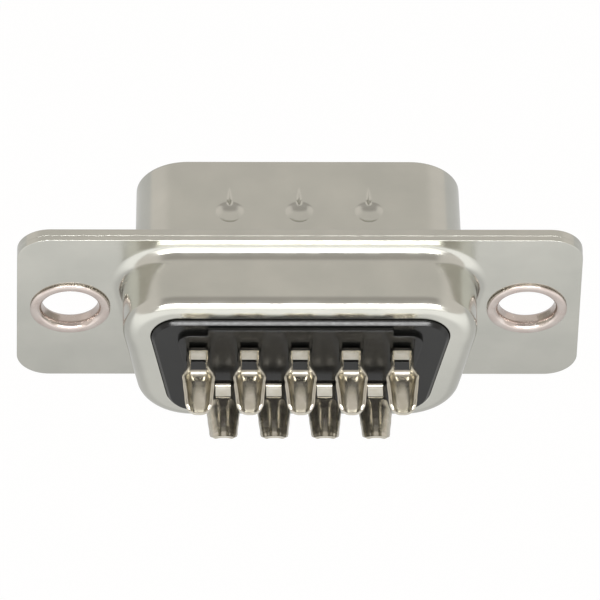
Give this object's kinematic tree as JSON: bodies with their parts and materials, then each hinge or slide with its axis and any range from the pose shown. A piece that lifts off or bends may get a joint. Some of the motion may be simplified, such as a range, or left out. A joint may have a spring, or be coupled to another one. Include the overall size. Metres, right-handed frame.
{
  "type": "d-sub connector",
  "caption": "Male D-shaped cable connector with a riveted two-piece metal shell, a black insulator and stamped solder-cup contacts in two rows.",
  "frame": {"origin": "centre of the flange's front face, midway between the two mounting holes", "axes": "+X along the flange, +Y the mating direction, +Z towards the longer row of contacts"},
  "size_m": [0.0308, 0.0145, 0.0126],
  "materials": {
    "plated_steel": "bright plated sheet steel",
    "plated_contact": "tin-plated brass strip",
    "plated_eyelet": "plated brass tube",
    "insulator": "moulded black thermoplastic"
  },
  "bodies": {
    "root": {"front_shell": "plated_steel", "rear_shell": "plated_steel", "front_insulator": "insulator", "rear_insulator": "insulator", "contact_1": "plated_contact", "contact_2": "plated_contact", "contact_3": "plated_contact", "contact_4": "plated_contact", "contact_5": "plated_contact", "contact_6": "plated_contact", "contact_7": "plated_contact", "contact_8": "plated_contact", "contact_9": "plated_contact", "eyelet_left": "plated_eyelet", "eyelet_right": "plated_eyelet"}
  },
  "joints": []
}
